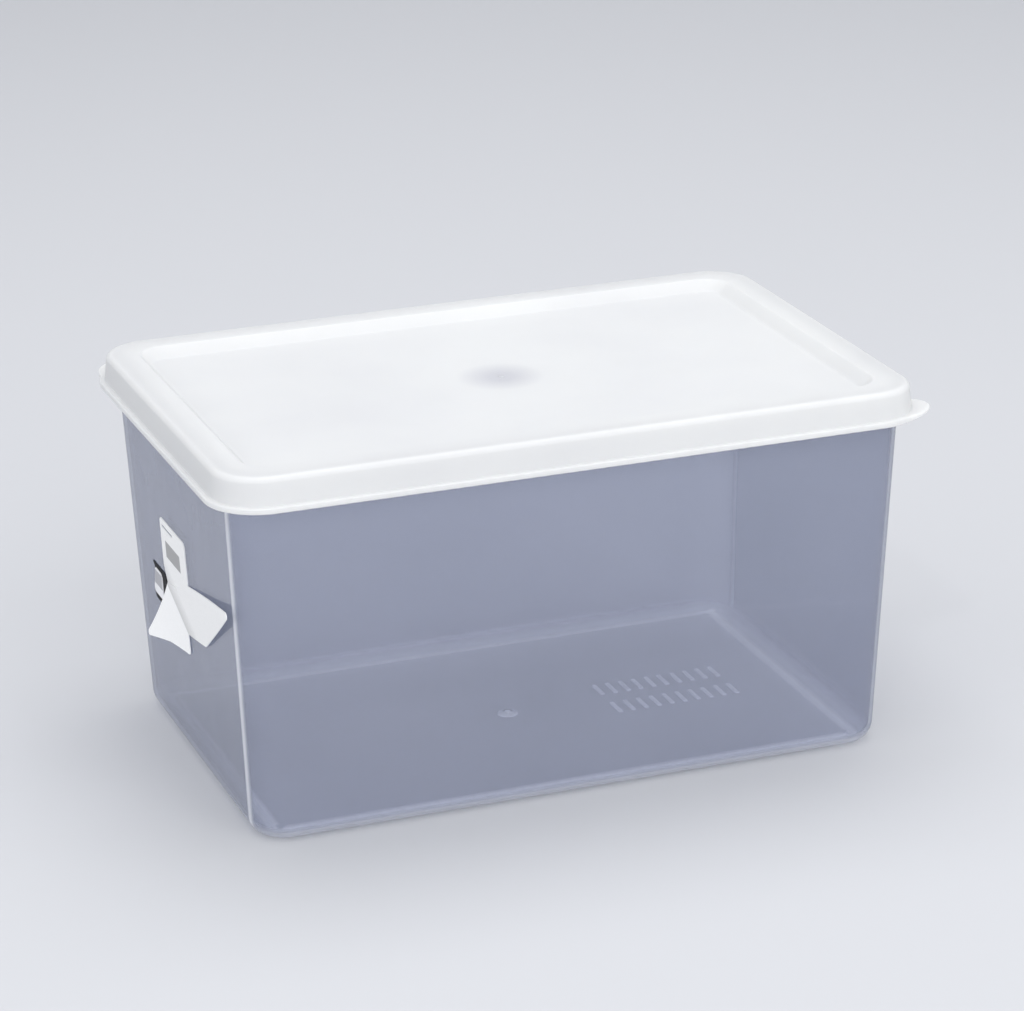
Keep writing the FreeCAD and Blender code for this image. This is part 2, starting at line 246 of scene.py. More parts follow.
def kept_position(tree, place, curve):
    """Keeps each point's position on a curve for later, and gives the curve and that position."""
    keep = add_node(tree, "GeometryNodeCaptureAttribute", place)
    keep.capture_items.new("VECTOR", "Place")
    spot = add_node(tree, "GeometryNodeInputPosition", (place[0] - 180, place[1] - 160))
    feed(tree, keep.inputs["Geometry"], curve)
    feed(tree, keep.inputs["Place"], spot.outputs["Position"])
    return keep.outputs["Geometry"], keep.outputs["Place"]


def sweep_tree():
    sockets = (("Section", "Geometry"), ("Shortfall", "Float"), ("Corner Steps", "Int"), ("Cuts", "Int"),
               ("Material", "Material"))
    tree = new_tree("ring_sweep", sockets, "Shell")
    source = add_node(tree, "NodeGroupInput", (-1300, 0))

    square = add_node(tree, "GeometryNodeCurvePrimitiveQuadrilateral", (-1100, 300))
    square.inputs["Width"].default_value = guide_width
    square.inputs["Height"].default_value = guide_width
    fillet = add_node(tree, "GeometryNodeFilletCurve", (-920, 300), mode="POLY")
    fillet.inputs["Radius"].default_value = guide_corner
    finer = add_node(tree, "GeometryNodeSubdivideCurve", (-740, 300))
    feed(tree, fillet.inputs["Curve"], square.outputs["Curve"])
    feed(tree, fillet.inputs["Count"], source.outputs["Corner Steps"])
    feed(tree, finer.inputs["Curve"], fillet.outputs["Curve"])
    feed(tree, finer.inputs["Cuts"], source.outputs["Cuts"])
    path, on_path = kept_position(tree, (-560, 300), finer.outputs["Curve"])

    section = add_node(tree, "GeometryNodeMeshToCurve", (-920, -100))
    feed(tree, section.inputs["Mesh"], source.outputs["Section"])
    profile, on_section = kept_position(tree, (-560, -100), section.outputs["Curve"])
    swept = add_node(tree, "GeometryNodeCurveToMesh", (-340, 200))
    feed(tree, swept.inputs["Curve"], path)
    feed(tree, swept.inputs["Profile Curve"], profile)

    corner = vector_step(tree, (-340, -100), "MINIMUM", on_path, guide_centre)
    corner = vector_step(tree, (-180, -100), "MAXIMUM", corner, -guide_centre)
    facing = vector_step(tree, (-20, -100), "SUBTRACT", on_path, corner)
    facing = vector_step(tree, (140, -100), "NORMALIZE", facing)
    ring = add_node(tree, "ShaderNodeSeparateXYZ", (-340, -360))
    feed(tree, ring.inputs["Vector"], on_section)
    centre_x = math_step(tree, (-180, -300), "SUBTRACT", ring.outputs["X"], ring.outputs["Y"])
    centre_y = math_step(tree, (-20, -300), "SUBTRACT", centre_x, source.outputs["Shortfall"])
    centre = add_node(tree, "ShaderNodeCombineXYZ", (140, -300))
    feed(tree, centre.inputs["X"], centre_x)
    feed(tree, centre.inputs["Y"], centre_y)
    lift = add_node(tree, "ShaderNodeCombineXYZ", (140, -460))
    feed(tree, lift.inputs["Z"], ring.outputs["Z"])
    spot = vector_step(tree, (300, -200), "MULTIPLY", corner, centre.outputs["Vector"])
    reach = vector_step(tree, (300, -100), "SCALE", facing, factor=ring.outputs["Y"])
    spot = vector_step(tree, (460, -150), "ADD", spot, reach)
    spot = vector_step(tree, (620, -150), "ADD", spot, lift.outputs["Vector"])

    place = add_node(tree, "GeometryNodeSetPosition", (640, 200))
    feed(tree, place.inputs["Geometry"], swept.outputs["Mesh"])
    feed(tree, place.inputs["Position"], spot)
    joined = add_node(tree, "GeometryNodeMergeByDistance", (800, 200))
    joined.inputs["Distance"].default_value = merge_reach
    smooth = add_node(tree, "GeometryNodeSetShadeSmooth", (960, 200))
    feed(tree, joined.inputs["Geometry"], place.outputs["Geometry"])
    feed(tree, smooth.inputs["Geometry"], joined.outputs["Geometry"])
    finish_tree(tree, source, smooth.outputs["Geometry"], "Shell", (1120, 200))
    return tree


ring_sweep = sweep_tree()
print("sweep tree has", len(ring_sweep.nodes), "nodes")

# %% [markdown]
# ## From a tree to a mesh
#
# A finished piece is a plain mesh, so a tree is run once on its start object and the result is kept. Light
# passes through this plastic, and a face that is turned inwards would shade wrongly, so the faces of each
# swept skin are turned outwards. A closed skin has two faces at every edge, and the open ones are counted.

# %% Run a tree and keep the mesh
def set_inputs(modifier, values):
    """Sets a tree's inputs by the sockets' identifiers."""
    for item in modifier.node_group.interface.items_tree:
        if item.item_type == "SOCKET" and item.in_out == "INPUT" and item.name in values:
            modifier[item.identifier] = values[item.name]


def made_by(tree, start, name, values):
    """Plain mesh object of what a tree makes from an object, which is then removed."""
    modifier = start.modifiers.new("tree", "NODES")
    modifier.node_group = tree
    set_inputs(modifier, values)
    evaluated = start.evaluated_get(bpy.context.evaluated_depsgraph_get())
    mesh = bpy.data.meshes.new_from_object(evaluated)
    bpy.data.objects.remove(start)
    mesh.name = name
    return placed(name, mesh)


def face_outwards(piece):
    """Merges doubles, turns every face outwards and prints whether the skin is closed."""
    skin = bmesh.new()
    skin.from_mesh(piece.data)
    bmesh.ops.remove_doubles(skin, verts=skin.verts, dist=merge_reach)
    bmesh.ops.recalc_face_normals(skin, faces=skin.faces)
    open_edges = sum(1 for edge in skin.edges if len(edge.link_faces) != 2)
    skin.to_mesh(piece.data)
    print(piece.name, len(piece.data.polygons), "faces,", open_edges, "open edges,",
          round(skin.calc_volume() * 1e6, 1), "cm3")
    skin.free()


# %% [markdown]
# ## Clear plastic
#
# The tub is natural polypropylene: see-through, but with a cold milky veil that grows where the plastic is
# thick or seen along its surface, so its edges look paler than its walls. Refracting glass would bend the
# light far more than such a thin wall does. A mix is closer: most of the light passes straight through a
# tinted surface, a share is scattered forwards and back, and a gloss lies over both. Light that crosses the
# wall on a slant goes a longer way through it, so it is dimmed more. A last mix lets most of the lamps' light
# into the box, because the real wall scatters it inwards and hardly stops it.

# %% Shader helpers
def new_material(name, colour):
    """Empty node material, with the colour that plain viewports show."""
    material = bpy.data.materials.new(name)
    material.use_nodes = True
    material.diffuse_color = colour
    material.node_tree.nodes.clear()
    return material


def object_place(tree, place):
    return add_node(tree, "ShaderNodeTexCoord", place).outputs["Object"]


def noise(tree, place, coordinates, scale, detail=2.0, roughness=0.5):
    """Noise over the object, with its scale in waves per metre."""
    node = add_node(tree, "ShaderNodeTexNoise", place)
    node.inputs["Scale"].default_value = scale
    node.inputs["Detail"].default_value = detail
    node.inputs["Roughness"].default_value = roughness
    feed(tree, node.inputs["Vector"], coordinates)
    return node.outputs["Fac"]


def ranged(tree, place, value, low, high, new_low, new_high):
    """Value taken from one range to another, and held inside it."""
    node = add_node(tree, "ShaderNodeMapRange", place, clamp=True)
    feed(tree, node.inputs["Value"], value)
    for name, number in (("From Min", low), ("From Max", high), ("To Min", new_low), ("To Max", new_high)):
        node.inputs[name].default_value = number
    return node.outputs["Result"]


def bump(tree, place, height, distance, over=None):
    """Normal of a surface that a height raises by up to a distance, over another bump if one is given."""
    node = add_node(tree, "ShaderNodeBump", place)
    node.inputs["Strength"].default_value = 1.0
    node.inputs["Distance"].default_value = distance
    feed(tree, node.inputs["Height"], height)
    if over:
        feed(tree, node.inputs["Normal"], over)
    return node.outputs["Normal"]


def slant_share(tree, place, power, normal=None):
    """0 where a surface is seen straight on, rising to 1 where it is seen along itself, from either side."""
    facing = add_node(tree, "ShaderNodeLayerWeight", place)
    facing.inputs["Blend"].default_value = 0.5
    if normal:
        feed(tree, facing.inputs["Normal"], normal)
    return math_step(tree, (place[0] + 160, place[1]), "POWER", facing.outputs["Facing"], power)


def colour_mix(tree, place, share, first, second, blend_type="MIX"):
    """Mix of two colours, each given as a socket or a value."""
    node = add_node(tree, "ShaderNodeMixRGB", place, blend_type=blend_type)
    for name, value in (("Fac", share), ("Color1", first), ("Color2", second)):
        feed(tree, node.inputs[name], value)
    return node.outputs["Color"]


def plain_shader(tree, kind, place, colour):
    """Shader that has only a colour."""
    node = add_node(tree, kind, place)
    feed(tree, node.inputs["Color"], colour)
    return node.outputs["BSDF"]


def shader_mix(tree, place, share, first, second):
    """Mix of two shaders, with the share of the second."""
    node = add_node(tree, "ShaderNodeMixShader", place)
    for socket, value in zip(node.inputs, (share, first, second)):
        feed(tree, socket, value)
    return node.outputs["Shader"]


def show(tree, place, shader):
    """Material output of a shader."""
    sink = add_node(tree, "ShaderNodeOutputMaterial", place)
    feed(tree, sink.inputs["Surface"], shader)


# %% Clear plastic material
wave_scale = 22.0
wave_height = 0.0006
cloud_scale = 14.0
cloud_range = (0.3, 0.7)
cloud_share = 0.015
milk_slant = 3.0
milk_straight = 0.12
milk_slanted = 0.4
thin_veil = (0.63, 0.65, 0.76, 1)
thick_and_highlight_veil = (0.96, 0.97, 1.0, 1)
full_thickness = 0.4
forward_scatter = 0.4
straight_tint = (0.79, 0.805, 0.85, 1)
slanted_tint = (0.36, 0.4, 0.47, 1)
skin_roughness = 0.06
shine_slant = 5.0
shine_straight = 0.04
shine_slanted = 0.9
lamp_tint = (0.97, 0.97, 0.98, 1)
lamp_share = 0.8


def clear_plastic_material():
    material = new_material("clear_plastic", (0.78, 0.81, 0.88, 0.4))
    tree = material.node_tree
    spot = object_place(tree, (-1400, 0))
    waves = noise(tree, (-1200, -300), spot, wave_scale)
    normal = bump(tree, (-1000, -300), waves, wave_height)
    cloud = noise(tree, (-1200, 200), spot, cloud_scale, detail=4.0)
    cloud = ranged(tree, (-1000, 200), cloud, *cloud_range, -cloud_share, cloud_share)
    # this attribute adds veil for thicker plastic and also carries painted highlights
    thickness_and_highlight = add_node(tree, "ShaderNodeAttribute", (-1200, -120), attribute_name="thickness_and_highlight").outputs["Fac"]
    slanted = slant_share(tree, (-1200, 0), milk_slant)
    milk = ranged(tree, (-1000, 0), slanted, 0.0, 1.0, milk_straight, milk_slanted)
    milk = math_step(tree, (-800, 0), "ADD", milk, cloud)
    milk = math_step(tree, (-640, 0), "ADD", milk, thickness_and_highlight)

    paleness = ranged(tree, (-1000, -460), thickness_and_highlight, 0.0, full_thickness, 0.0, 1.0)
    pale = colour_mix(tree, (-820, -400), paleness, thin_veil, thick_and_highlight_veil)
    veil = plain_shader(tree, "ShaderNodeBsdfDiffuse", (-640, -300), pale)
    glow = plain_shader(tree, "ShaderNodeBsdfTranslucent", (-640, -440), pale)
    scatter = shader_mix(tree, (-460, -340), forward_scatter, veil, glow)
    straight = plain_shader(tree, "ShaderNodeBsdfTransparent", (-640, 200), straight_tint)
    long_way = plain_shader(tree, "ShaderNodeBsdfTransparent", (-640, 100), slanted_tint)
    through = shader_mix(tree, (-460, 100), slanted, straight, long_way)
    body = shader_mix(tree, (-280, 0), milk, through, scatter)

    gloss = add_node(tree, "ShaderNodeBsdfGlossy", (-280, -240))
    gloss.inputs["Roughness"].default_value = skin_roughness
    feed(tree, gloss.inputs["Normal"], normal)
    shine = slant_share(tree, (-640, 260), shine_slant, normal)
    shine = ranged(tree, (-460, 260), shine, 0.0, 1.0, shine_straight, shine_slanted)
    skin = shader_mix(tree, (-100, 0), shine, body, gloss.outputs["BSDF"])
    lit_through = plain_shader(tree, "ShaderNodeBsdfTransparent", (-100, -200), lamp_tint)
    to_lamp = add_node(tree, "ShaderNodeLightPath", (-280, 400)).outputs["Is Shadow Ray"]
    let_in = math_step(tree, (-100, 300), "MULTIPLY", to_lamp, lamp_share)
    show(tree, (260, 0), shader_mix(tree, (80, 0), let_in, skin, lit_through))
    return material


clear_plastic = clear_plastic_material()
print("made", clear_plastic.name)

# %% [markdown]
# ## The tub
#
# One drafted moulding: a foot ring under a floor that is raised inside it, walls that lean out, a large soft
# bend between them, and a bead rolled round the mouth. Both skins are there, so light passes two surfaces at
# each wall, as it does in the real one.

# %% Tub
foot_side = base_side - bottom_radius - foot_width
floor_top = floor_thickness + foot_height
foot_corner = corner_radius - bottom_radius - foot_width
inner_base_side = wall_side(floor_thickness) - wall
step_side = foot_side - foot_height
step_corner = foot_corner - foot_height
floor_margin = 0.003
tub_line = bent_line([
    (shortfall, 0, foot_height, 0),
    (step_side - floor_margin, step_corner - floor_margin, foot_height, 0),
    (step_side, step_corner, foot_height, 0.0004),
    (foot_side, foot_corner, 0, 0.0003),
    (base_side, corner_radius, 0, bottom_radius),
    (wall_side(rim_bottom), corner_radius, rim_bottom, 0.0006),
    (mouth_side + rim_reach, corner_radius + rim_reach, rim_bottom, 0.0008),
    (mouth_side + rim_reach, corner_radius + rim_reach, rim_top, 0.0014),
    (mouth_side - wall, corner_radius - wall, rim_top, 0.0005),
    (inner_base_side, corner_radius - wall, floor_thickness, bottom_radius - wall),
    (foot_side, foot_corner, floor_thickness, 0.0004),
    (step_side, step_corner, floor_top, 0.0004),
    (step_side - floor_margin, step_corner - floor_margin, floor_top, 0),
    (shortfall, 0, floor_top, 0)])
tub = made_by(ring_sweep, line_object("tub_section", tub_line), "tub",
              {"Shortfall": shortfall, "Corner Steps": 9, "Cuts": 1, "Material": clear_plastic})
face_outwards(tub)

# %% [markdown]
# ## Thicker places and painted highlights
#
# Where such a tub holds more plastic, or bends sharply, it looks paler: at the bottom bend, over the floor,
# along the foot and at the rim. A pale upright line at each corner is a painted highlight, a lamp's streak
# drawn into the veil, and it is fainter on the back left corner. A shader can't measure thickness, so a
# point attribute tells the material how much veil to add, as a share of a full one. The line along the foot
# is a full veil with soft edges, and the painted highlight rises and fades over a few degrees of its corner.

# %% Marks of thicker plastic and painted highlights
bend_mark = 0.45
floor_mark = 0.38
foot_peak = 1.6
foot_line = 0.0016
rim_mark = 0.1
corner_highlight_strength = 0.6
faint_corner_highlight = 0.3
highlight_rise = 4
highlight_fade = 9
highlight_end = 19


def held(value):
    """Value held between 0 and 1."""
    return max(0.0, min(1.0, value))


def painted_corner_highlight(point):
    """Strength of the painted highlight, near the upright line where a corner's arc meets the end wall."""
    centre = wall_side(point.z) - corner_radius
    arm = Vector((abs(point.x) - centre, abs(point.y) + shortfall - centre))
    if arm.length < corner_radius - wall / 2:
        return 0
    turn = math.degrees(math.atan2(arm.y, arm.x))
    # the painted highlight is drawn fainter on the back left corner
    highlight_share = faint_corner_highlight if point.x < 0 < point.y else 1
    return held(turn / highlight_rise) * held((highlight_end - turn) / highlight_fade) * highlight_share


def tub_veil_and_highlight(point):
    """How much more veil than a plain wall the tub gets at a point: more plastic, and the painted corner
    highlight.
    """
    side = max(abs(point.x), abs(point.y) + shortfall)
    low = held(1 - point.z / bottom_radius)
    at_bend = bend_mark * low * (side > foot_side)
    at_floor = floor_mark * (side < foot_side)
    at_foot = held(foot_peak - abs(side - foot_side) / foot_line) * (point.z < 2 * floor_top)
    at_rim = rim_mark * (point.z > rim_bottom)
    # the upright line at each corner is a painted highlight
    at_corner_highlight = corner_highlight_strength * painted_corner_highlight(point) * (1 - low)
    return at_bend + max(at_floor, at_foot) + at_rim + at_corner_highlight


def mark_veil_and_highlight(piece, veil_at):
    """Keeps on each point of a piece how much more veil it gets, for more plastic and for painted highlights.
    """
    thickness_and_highlight = piece.data.attributes.new("thickness_and_highlight", "FLOAT", "POINT")
    for vertex in piece.data.vertices:
        thickness_and_highlight.data[vertex.index].value = veil_at(vertex.co)
    print(piece.name, "is marked at", len(thickness_and_highlight.data), "points")


mark_veil_and_highlight(tub, tub_veil_and_highlight)
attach(tub, "box")
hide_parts("container")

# %% [markdown]
# ## Lid plastic
#
# The lid is soft white polyethylene. A mix of a white skin and a translucent share passes light on into the
# box, so it is never quite opaque, and its skin has a faint dull sheen. The panel is a little cloudy, and
# round the gate, where the plastic entered the mould, a darker ring is painted shade of a shallow dimple.

# %% Lid material
gate_shade_inside = 0.006
gate_shade_outside = 0.022
mottle_scale = 9.0
mottle_range = (0.35, 0.65)
mottle_share = 0.25
lid_white = (0.90, 0.90, 0.885, 1)
lid_dim = (0.74, 0.74, 0.76, 1)
grain_scale = 900.0
grain_height = 0.00002
swell_scale = 25.0
swell_height = 0.0006
lid_settings = {"Roughness": 0.42, "Specular IOR Level": 0.4, "Subsurface Weight": 0.25,
                "Subsurface Radius": (1.0, 0.95, 0.9), "Subsurface Scale": 0.004}
passed_share = 0.4


def lid_material():
    material = new_material("lid_plastic", (0.93, 0.93, 0.92, 1))
    tree = material.node_tree
    spot = object_place(tree, (-1400, 0))
    flat = vector_step(tree, (-1200, 200), "MULTIPLY", spot, (1, 1, 0))
    distance = vector_step(tree, (-1040, 200), "LENGTH", flat, result="Value")
    # painted shade: a darker ring round the gate, darkest near it
    gate_shade = ranged(tree, (-880, 200), distance, gate_shade_inside, gate_shade_outside, 1.0, 0.0)
    cloud = noise(tree, (-1200, -100), spot, mottle_scale, detail=3.0)
    mottle = ranged(tree, (-1000, -100), cloud, *mottle_range, 0.0, mottle_share)
    # the painted shade round the gate and the random mottle darken the lid together
    shade_and_mottle = math_step(tree, (-700, 100), "MAXIMUM", gate_shade, mottle)
    colour = colour_mix(tree, (-520, 100), shade_and_mottle, lid_white, lid_dim)
    grain = noise(tree, (-900, -350), spot, grain_scale, detail=3.0)
    grained = bump(tree, (-700, -350), grain, grain_height)
    swell = noise(tree, (-900, -550), spot, swell_scale)
    wavy = bump(tree, (-520, -350), swell, swell_height, over=grained)
    shader = add_node(tree, "ShaderNodeBsdfPrincipled", (-300, 0))
    for name, value in lid_settings.items():
        shader.inputs[name].default_value = value
    feed(tree, shader.inputs["Base Color"], colour)
    feed(tree, shader.inputs["Normal"], wavy)
    passing = plain_shader(tree, "ShaderNodeBsdfTranslucent", (-300, -400), colour)
    show(tree, (120, 0), shader_mix(tree, (-60, 0), passed_share, shader.outputs["BSDF"], passing))
    return material


lid_plastic = lid_material()
print("made", lid_plastic.name)

# %% [markdown]
# ## The lid
#
# From above it is a sunken panel, a sloping step, a raised border, a skirt and a thin lip. Underneath, a rib
# presses against the inside of the wall, and a bead inside the skirt grips below the tub's rim. It is swept
# by the same tree as the tub, with more steps round its corners, because the tabs are drawn out of them.

# %% Lid
lid_top = lid_high.z
lid_bottom = lid_low.z
lid_wall = 0.0015
skirt_reach = 0.00455
skirt_flare = 0.0014
lead_in = 0.001
lip_reach = 0.0026
lip_height = 0.003
lip_top = lid_bottom + lip_height
recess_depth = 0.0055
recess_slope = 0.005
border_width = 0.015
recess_corner = 0.009
panel_top = lid_top - recess_depth
panel_underside = panel_top - lid_wall
recess_side = mouth_side + skirt_reach - border_width - recess_slope
slope_at_underside = recess_slope * (rim_top - panel_underside) / recess_depth
under_side = recess_side + lid_wall
under_corner = recess_corner + lid_wall
rib_clearance = 0.00035
rib_thickness = 0.0012
rib_height = 0.0045
rib_bottom = rim_top - rib_height
rib_reach = -wall - rib_clearance
bead_clearance = 0.0003
bead_height = 0.003
bead_ramp = 0.001
bead_drop = 0.0008
bead_top = rim_bottom - bead_drop
bead_reach = rim_reach + bead_clearance


def parallel(reach):
    """Half length and corner radius of a ring that runs outside the mouth by reach."""
    return mouth_side + reach, corner_radius + reach


def skirt_inside(height):
    """How far the inside of the skirt is from the mouth at a height."""
    share = (lid_top - height) / (lid_top - lip_top)
    return skirt_reach - lid_wall + skirt_flare * share


lid_line = bent_line([
    (shortfall, 0, panel_underside, 0),
    (under_side, under_corner, panel_underside, 0.001),
    (under_side + slope_at_underside, under_corner + slope_at_underside, rim_top, 0.0006),
    (*parallel(rib_reach - rib_thickness), rim_top, 0.0003),
    (*parallel(rib_reach - rib_thickness), rib_bottom, 0.0004),
    (*parallel(rib_reach), rib_bottom, 0.0004),
    (*parallel(rib_reach), rim_top, 0.0003),
    (*parallel(skirt_inside(rim_top)), rim_top, 0.0004),
    (*parallel(skirt_inside(bead_top)), bead_top, 0),
    (*parallel(bead_reach), bead_top - bead_ramp, 0),
    (*parallel(bead_reach), bead_top - bead_height + bead_ramp, 0),
    (*parallel(skirt_inside(bead_top - bead_height)), bead_top - bead_height, 0),
    (*parallel(skirt_inside(lip_top)), lip_top, 0),
    (*parallel(skirt_reach + skirt_flare - lid_wall + lead_in), lid_bottom, 0.0003),
    (*parallel(skirt_reach + skirt_flare + lip_reach), lid_bottom, 0.0008),
    (*parallel(skirt_reach + skirt_flare + lip_reach), lip_top, 0.0008),
    (*parallel(skirt_reach + skirt_flare), lip_top, 0.0005),
    (*parallel(skirt_reach), lid_top, 0.003),
    (recess_side + recess_slope, recess_corner + recess_slope, lid_top, 0.0012),
    (recess_side, recess_corner, panel_top, 0.0014),
    (shortfall, 0, panel_top, 0)])
lid = made_by(ring_sweep, line_object("lid_section", lid_line), "lid_shell",
              {"Shortfall": shortfall, "Corner Steps": 13, "Cuts": 2, "Material": lid_plastic})
face_outwards(lid)

# %% [markdown]
# ## Pull tabs
#
# A tab is a round tongue that flows out of the lip at two opposite corners, for a thumb to peel the lid off.
# A tongue joined on would leave a seam, so the lip itself is drawn out: each point of it moves away from its
# corner's centre as far as the tab's outline lies there, and rises a little. The lid is first cut across near
# its corners, so that the straight sides have points to move too.

# %% Pull tabs
lip_corner = corner_radius + skirt_reach + skirt_flare + lip_reach
lip_root = corner_radius + skirt_reach + skirt_flare
tab_radius = 0.0153
tab_reach = 0.0058
tab_tip = lip_corner + tab_reach
tab_blend = 0.009
tab_tilt = math.radians(14)
tab_turn = math.radians(16)
tab_pinch = 0.0004
tab_cuts = (0.002, 0.004, 0.007)
above_lip = 0.0001


def tab_edge(angle):
    """Distance from a corner's centre to the edge of lip and tab, at an angle from the tab's middle."""
    offset = tab_tip - tab_radius
    far = lip_corner + tab_blend
    near = tab_radius + tab_blend
    spread = math.acos((offset ** 2 + far ** 2 - near ** 2) / (2 * offset * far))
    angle = abs(angle)
    if angle >= spread:
        return lip_corner
    hollow = Vector((far * math.cos(spread), far * math.sin(spread)))
    meet = Vector((offset, 0)) + (hollow - Vector((offset, 0))) * (tab_radius / near)
    if angle > math.atan2(meet.y, meet.x):
        across = far * math.cos(spread - angle)
        return across - math.sqrt(tab_blend ** 2 - (far * math.sin(spread - angle)) ** 2)
    return offset * math.cos(angle) + math.sqrt(tab_radius ** 2 - (offset * math.sin(angle)) ** 2)


def cut_across(piece):
    """Cuts the lid across just past the corners, so that the tabs may reach on to its straight sides."""
    form = bmesh.new()
    form.from_mesh(piece.data)
    corner_x = mouth_side - corner_radius
    corner_y = corner_x - shortfall
    for past in tab_cuts:
        for spot, way in (((past - corner_x, 0, 0), (1, 0, 0)), ((0, past - corner_y, 0), (0, 1, 0))):
            bmesh.ops.bisect_plane(form, geom=form.verts[:] + form.edges[:] + form.faces[:],
                                   plane_co=spot, plane_no=way)
    form.to_mesh(piece.data)
    form.free()


def pull_out_tabs(piece):
    """Draws the lip outwards and upwards at the front right and back left corners."""
    for vertex in piece.data.vertices:
        point = vertex.co
        if point.z > lip_top + above_lip or point.x * point.y > 0:
            continue
        sign = 1 if point.x > 0 else -1
        centre = Vector((sign * (mouth_side - corner_radius),
                         -sign * (mouth_side - shortfall - corner_radius)))
        arm = point.xy - centre
        off_diagonal = arm.angle_signed(Vector((sign, -sign)), 0)
        past_corner = math.cos(max(0.0, abs(off_diagonal) - math.pi / 4))
        share = (arm.length * past_corner - lip_root) / (lip_corner - lip_root)
        angle = off_diagonal - sign * tab_turn
        pulled = tab_edge(angle) - lip_corner / past_corner
        if share <= 0 or pulled <= 0:
            continue
        growth = pulled / (tab_tip - lip_corner)
        arm = arm.normalized() * (arm.length + pulled * share)
        rise = (tab_tip - lip_root) * math.tan(tab_tilt) * growth * share
        pinch = tab_pinch * growth * (1 if point.z < lip_top - lip_height / 2 else -1)
        vertex.co = (centre.x + arm.x, centre.y + arm.y, point.z + rise + pinch)


cut_across(lid)
pull_out_tabs(lid)
print("tabs reach", round(1000 * tab_reach, 1), "mm past the lip")
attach(lid, "lid")
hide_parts("lid")

# %% [markdown]
# ## Even shading
#
# Beside a narrow bend, a smooth shaded flat wall picks up a false gradient. A weighted normal lets the larger
# face decide, so the walls stay flat and only the bends turn the light.

# %% Even shading
large_face_weight = 80
for piece in (tub, lid):
    even = piece.modifiers.new("even_shading", "WEIGHTED_NORMAL")
    even.keep_sharp = True
    even.weight = large_face_weight
    print(piece.name, "has even shading")

# %% [markdown]
# ## Paper and print
#
# The tag is thin white paper, slightly fibrous, with one plain grey field on its header. Its right leaf turns
# from the light and is darkest where it starts inside the fold, and that shade is painted shade in the
# paper's colour. The sticker is two small coated papers, one black and one white. These keep their CAD
# shapes, so only their finish is made.

# %% Paper materials
fold_top = Vector((0, 0.0279, 0.0855))
fold_foot = Vector((0, -0.004, 0.0719))
fold_edge = 0.0004
fold_shade = 0.011
shade_at_fold = 0.32
shade_on_leaf = 0.08
fibre_scale = 1400.0
fibre_range = (0.3, 0.7)
fibre_share = 0.04
fibre_height = 0.00003
paper_gloss = 0.15


def painted_fold_shade(tree, spot, fibre_tone):
    """Painted shade on the tag: its right leaf is darkened as it turns from the light, most of all inside the
    fold.
    """
    across = Vector((0, fold_foot.z - fold_top.z, fold_top.y - fold_foot.y)).normalized()
    past = vector_step(tree, (-1000, -500), "DOT_PRODUCT", spot, across, result="Value")
    at_fold = across.dot(fold_top)
    right_leaf = ranged(tree, (-820, -460), past, at_fold, at_fold + fold_edge, 0.0, 1.0)
    fold_shade_depth = ranged(tree, (-820, -620), past, at_fold, at_fold + fold_shade,
                         shade_at_fold, shade_on_leaf)
    shade = math_step(tree, (-640, -500), "MULTIPLY", right_leaf, fold_shade_depth)
    kept = math_step(tree, (-500, -500), "SUBTRACT", 1.0, shade)
    return math_step(tree, (-360, -500), "MULTIPLY", kept, fibre_tone)


def field_mask(tree, spot, low_y, high_y, low_z, high_z):
    """1 inside a box on the end wall and 0 outside it."""
    axes = add_node(tree, "ShaderNodeSeparateXYZ", (-1000, 300))
    feed(tree, axes.inputs["Vector"], spot)
    inside = None
    for output, low, high in ((axes.outputs["Y"], low_y, high_y), (axes.outputs["Z"], low_z, high_z)):
        for value, bound, operation in ((output, low, "GREATER_THAN"), (output, high, "LESS_THAN")):
            part = math_step(tree, (-800, 300), operation, value, bound)
            inside = part if inside is None else math_step(tree, (-640, 300), "MULTIPLY", inside, part)
    return inside


def paper_material(name, colour, roughness, field=None, field_colour=None, paint_fold_shade=False):
    """Paper with faint fibres, and if field is given, a plain printed box from one corner to the other."""
    material = new_material(name, (*colour, 1))
    tree = material.node_tree
    spot = object_place(tree, (-1200, 0))
    fibre = noise(tree, (-1000, -200), spot, fibre_scale, detail=4.0, roughness=0.7)
    fibre_tone_and_shade = ranged(tree, (-820, -60), fibre, *fibre_range, 1 - fibre_share, 1 + fibre_share)
    # painted shade: the tag's right leaf, and most of all the start of its fold, are darkened in its colour
    if paint_fold_shade:
        fibre_tone_and_shade = painted_fold_shade(tree, spot, fibre_tone_and_shade)
    shown = colour_mix(tree, (-600, 0), 1.0, (*colour, 1), fibre_tone_and_shade, blend_type="MULTIPLY")
    if field:
        shown = colour_mix(tree, (-420, 100), field_mask(tree, spot, *field), shown, (*field_colour, 1))
    shader = add_node(tree, "ShaderNodeBsdfPrincipled", (-220, 0))
    shader.inputs["Roughness"].default_value = roughness
    shader.inputs["Specular IOR Level"].default_value = paper_gloss
    feed(tree, shader.inputs["Base Color"], shown)
    feed(tree, shader.inputs["Normal"], bump(tree, (-420, -260), fibre, fibre_height))
    show(tree, (60, 0), shader.outputs["BSDF"])
    return material


# %% Tag and sticker
header_field = (0.001, 0.026, 0.101, 0.1095)
header_grey = (0.4, 0.4, 0.4)
sticker_field = (0.0395, 0.0535, 0.0785, 0.0862)
sticker_grey = (0.42, 0.42, 0.44)
